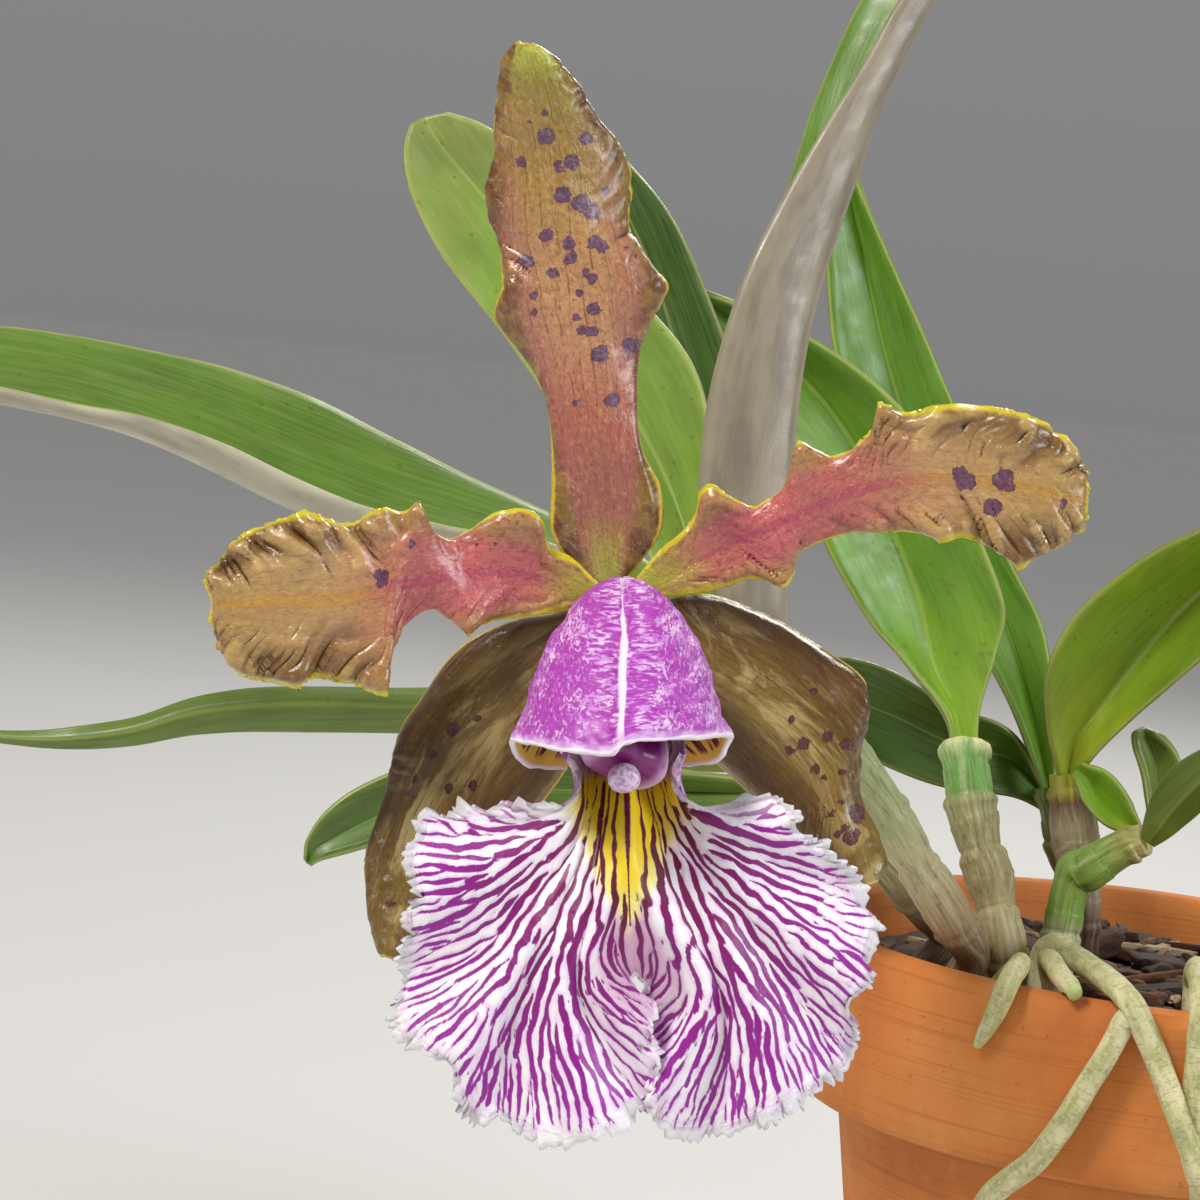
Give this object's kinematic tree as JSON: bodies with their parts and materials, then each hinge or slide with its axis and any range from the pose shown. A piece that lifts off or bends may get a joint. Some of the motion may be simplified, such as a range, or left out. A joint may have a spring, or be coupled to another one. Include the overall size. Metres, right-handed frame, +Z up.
{
  "type": "cattleya orchid in a clay pot",
  "caption": "Cattleya orchid in bloom: spotted bronze sepals and petals, a magenta-veined frilled lip, leafy canes and aerial roots in bark, in a terracotta pot.",
  "frame": {"origin": "centre of the pot's foot, on the surface that the pot stands on", "axes": "+Z up, the bloom faces -Y and stands to the left of the pot, -X; +X is to the viewer's right"},
  "size_m": [0.245, 0.2259, 0.2549],
  "materials": {
    "terracotta": "matt unglazed clay",
    "bark": "rough dark bark",
    "rhizome": "dry brown scales",
    "cane": "grey-green stems with papery sheaths",
    "leaf": "leathery, satin",
    "leaf_underside": "mauve-grey leaf underside, matt",
    "root": "pale mottled root skin",
    "stem": "green stalk, satin",
    "sepal": "glossy bronze with purple spots",
    "petal": "rose and bronze with a yellow margin",
    "hood": "mauve mottled with magenta",
    "lip": "white with magenta veins, yellow neck",
    "column": "waxy purple",
    "cap": "waxy white-mauve"
  },
  "bodies": {
    "root": {"anther_cap": "cap", "bark": "bark", "cane_back": "cane", "cane_flower": "cane", "cane_front": "cane", "cane_left": "cane", "cane_sheathed": "cane", "cane_young": "cane", "column": "column", "flower_stem": "stem", "leaf_back": "leaf", "leaf_bright": "leaf", "leaf_broad": "leaf", "leaf_bud": "leaf", "leaf_level": "leaf", "leaf_long": "leaf", "leaf_low": "leaf", "leaf_mauve": "leaf_underside", "leaf_mottled": "leaf", "leaf_olive": "leaf", "leaf_pale": "leaf", "leaf_shade": "leaf", "leaf_small": "leaf", "lip_fan": "lip", "lip_hood": "hood", "petal_left": "petal", "petal_right": "petal", "pot": "terracotta", "rhizome": "rhizome", "root_a": "root", "root_c": "root", "root_d": "root", "root_e": "root", "sepal_left": "sepal", "sepal_right": "sepal", "sepal_upper": "sepal"}
  },
  "joints": []
}
